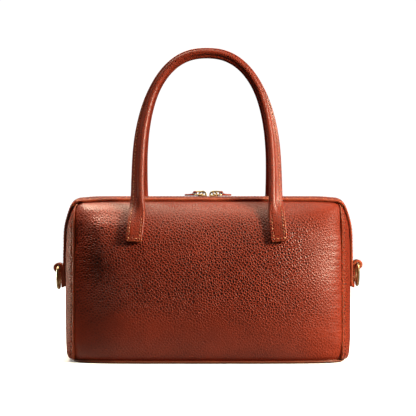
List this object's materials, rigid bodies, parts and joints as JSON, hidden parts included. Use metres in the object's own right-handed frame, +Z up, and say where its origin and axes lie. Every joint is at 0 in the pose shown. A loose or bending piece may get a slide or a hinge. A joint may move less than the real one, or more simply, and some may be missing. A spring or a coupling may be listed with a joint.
{
  "type": "mini duffel bag",
  "caption": "Small zipped leather duffel bag with raw-edged panels, a pair of rolled handles and a hanging brass D-ring at each end.",
  "frame": {"origin": "middle of the base's underside", "axes": "+X along the bag to its right end, -Y to the front, +Z up"},
  "size_m": [0.27, 0.126, 0.2711],
  "materials": {
    "leather": "pebbled, satin",
    "brass": "antique, polished by wear",
    "zip_tape": "woven"
  },
  "bodies": {
    "bag": {"base_panel": "leather", "panel_front": "leather", "panel_back": "leather", "end_panel_left": "leather", "end_panel_right": "leather", "zip_strip_front": "leather", "zip_strip_back": "leather", "zip_tape_front": "zip_tape", "zip_tape_back": "zip_tape", "zip_teeth": "brass", "zip_slider_left": "brass", "zip_slider_right": "brass", "pull_ring_left": "brass", "pull_ring_right": "brass", "pull_tab_left": "leather", "pull_tab_right": "leather", "handle_front": "leather", "handle_back": "leather", "ring_tab_left": "leather", "ring_tab_right": "leather"},
    "ring_left": {"d_ring_left": "brass"},
    "ring_right": {"d_ring_right": "brass"}
  },
  "joints": [
    {"name": "ring_left_swing", "type": "hinge", "parent": "bag", "child": "ring_left", "pos_m": [-0.13082, 0, 0.0798], "axis": [0, 1, 0], "range_deg": [-4, 175]},
    {"name": "ring_right_swing", "type": "hinge", "parent": "bag", "child": "ring_right", "pos_m": [0.13082, 0, 0.0826], "axis": [0, -1, 0], "range_deg": [-4, 175]}
  ]
}
